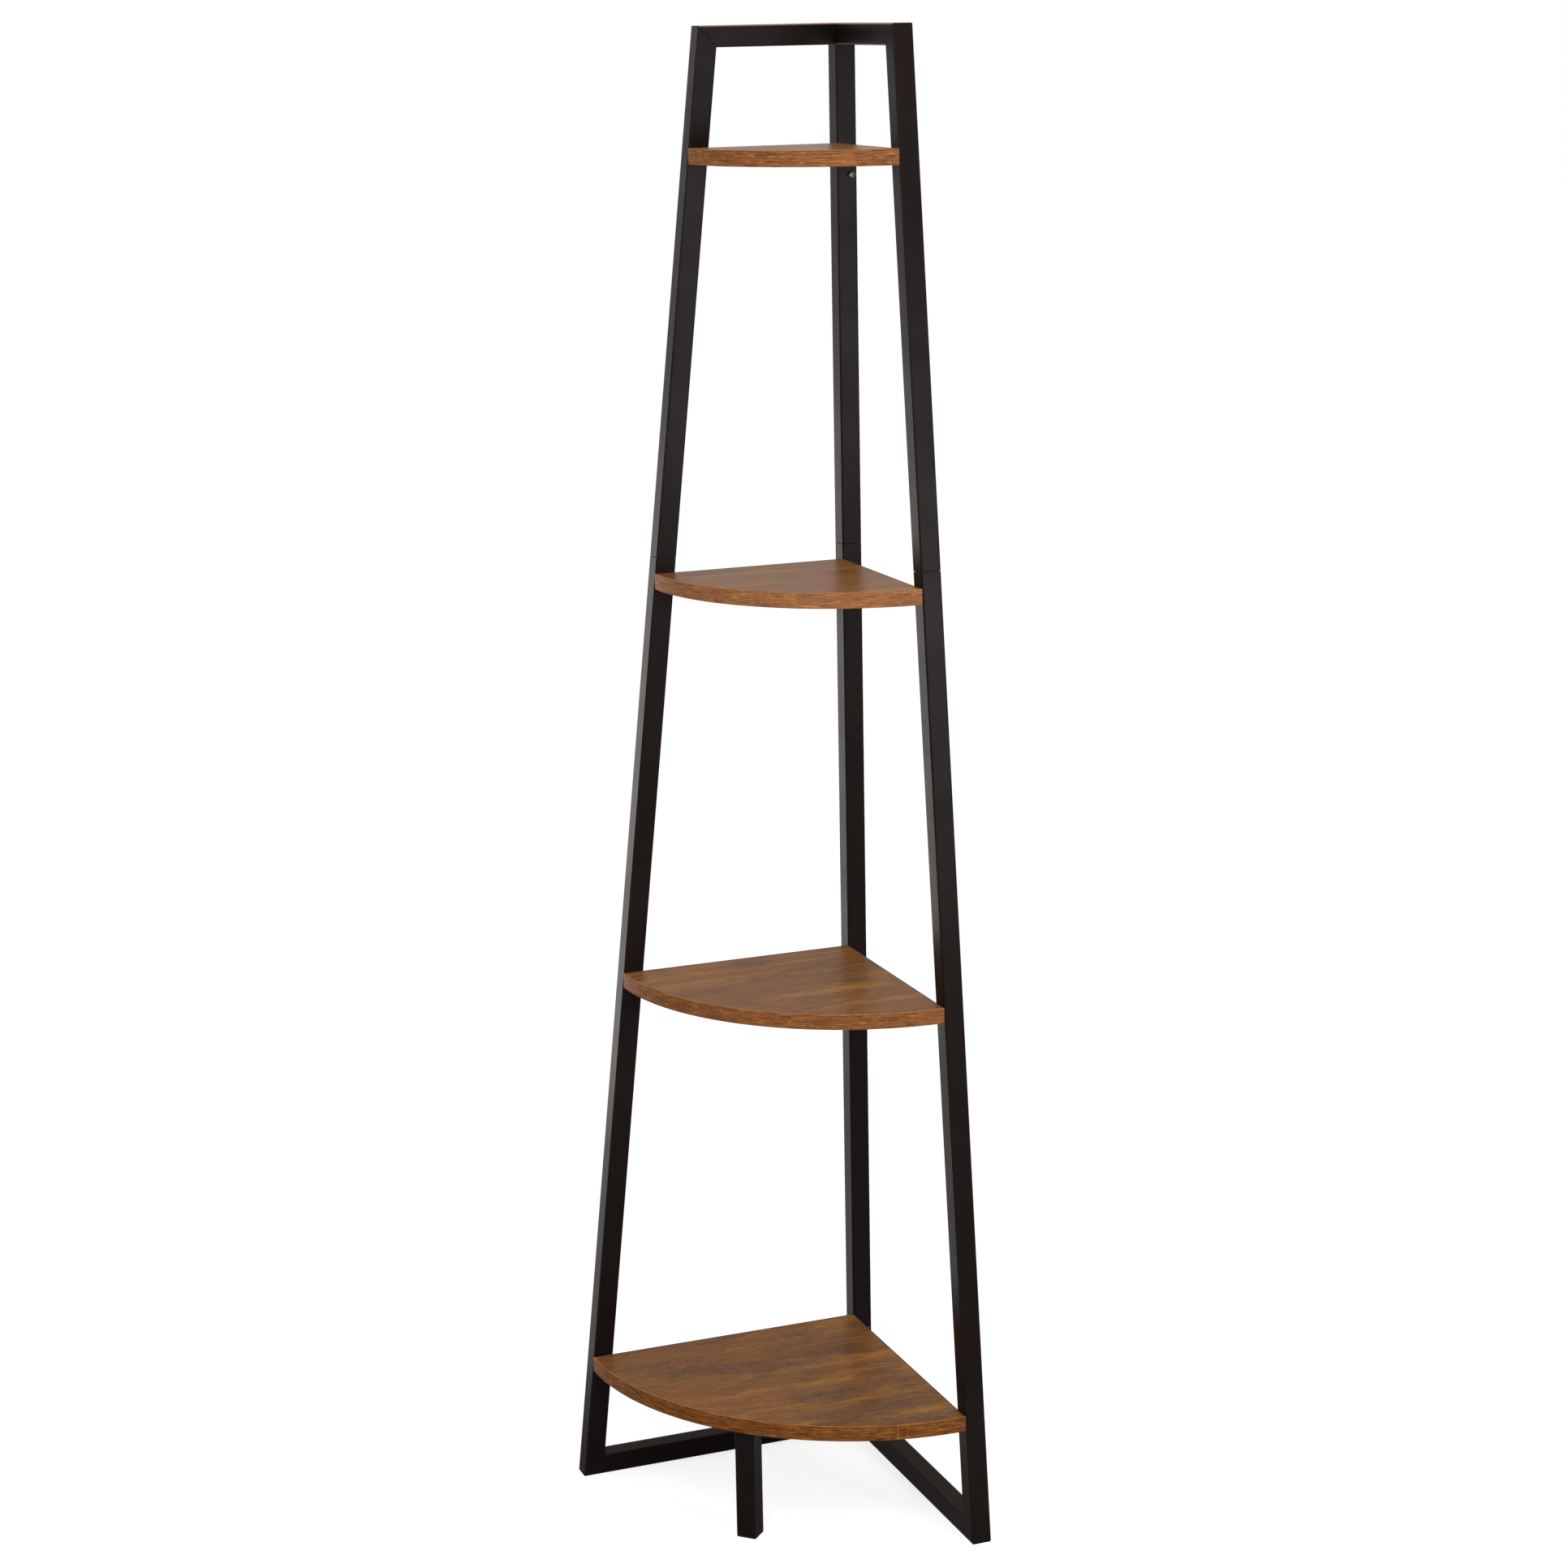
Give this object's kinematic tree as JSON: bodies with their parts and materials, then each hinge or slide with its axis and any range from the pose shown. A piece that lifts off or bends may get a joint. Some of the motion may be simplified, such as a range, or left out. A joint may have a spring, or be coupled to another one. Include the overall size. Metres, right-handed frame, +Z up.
{
  "type": "corner shelf unit",
  "caption": "Tall corner shelf unit: quarter-round wood-look shelves that grow towards the floor, held in two splayed frames of dark square steel tube.",
  "frame": {"origin": "on the floor, under the middle of the unit's square plan", "axes": "+Z up; +X and +Y point to the two walls of the room's corner, so the shelves open towards -X and -Y"},
  "size_m": [0.314, 0.314, 1.42],
  "materials": {
    "frame_paint": "satin black-brown powder coat",
    "shelf_laminate": "walnut-brown wood-grain laminate, satin",
    "edge_band": "warm oak-brown wood-grain edge band, satin",
    "zinc_steel": "zinc plated",
    "black_screw": "blackened steel",
    "foot_plastic": "moulded plastic"
  },
  "bodies": {
    "root": {"left_top_bar": "frame_paint", "left_upper_leg": "frame_paint", "left_lower_leg": "frame_paint", "left_base_bar": "frame_paint", "right_top_bar": "frame_paint", "right_upper_leg": "frame_paint", "right_lower_leg": "frame_paint", "right_base_bar": "frame_paint", "rear_upper_post": "frame_paint", "rear_lower_post": "frame_paint", "left_seam_sleeve": "frame_paint", "left_seam_set_screw": "black_screw", "right_seam_sleeve": "frame_paint", "right_seam_set_screw": "black_screw", "rear_seam_sleeve": "frame_paint", "rear_seam_set_screw": "black_screw", "bottom_shelf_board": "shelf_laminate", "bottom_shelf_front_edge_band": "edge_band", "bottom_shelf_left_edge_band": "edge_band", "bottom_shelf_right_edge_band": "edge_band", "bottom_shelf_rear_lug": "frame_paint", "bottom_shelf_left_screw": "zinc_steel", "bottom_shelf_right_screw": "zinc_steel", "bottom_shelf_rear_screw": "zinc_steel", "lower_shelf_board": "shelf_laminate", "lower_shelf_front_edge_band": "edge_band", "lower_shelf_left_edge_band": "edge_band", "lower_shelf_right_edge_band": "edge_band", "lower_shelf_rear_lug": "frame_paint", "lower_shelf_left_screw": "zinc_steel", "lower_shelf_right_screw": "zinc_steel", "lower_shelf_rear_screw": "zinc_steel", "upper_shelf_board": "shelf_laminate", "upper_shelf_front_edge_band": "edge_band", "upper_shelf_left_edge_band": "edge_band", "upper_shelf_right_edge_band": "edge_band", "upper_shelf_rear_lug": "frame_paint", "upper_shelf_left_screw": "zinc_steel", "upper_shelf_right_screw": "zinc_steel", "upper_shelf_rear_screw": "zinc_steel", "top_shelf_board": "shelf_laminate", "top_shelf_front_edge_band": "edge_band", "top_shelf_left_edge_band": "edge_band", "top_shelf_right_edge_band": "edge_band", "top_shelf_rear_lug": "frame_paint", "top_shelf_left_screw": "zinc_steel", "top_shelf_right_screw": "zinc_steel", "top_shelf_rear_screw": "zinc_steel", "front_leg_tube": "frame_paint", "front_leg_plate": "frame_paint", "front_leg_foot": "foot_plastic", "front_leg_left_screw": "zinc_steel", "front_leg_right_screw": "zinc_steel", "wall_fixing_screw": "black_screw"}
  },
  "joints": []
}
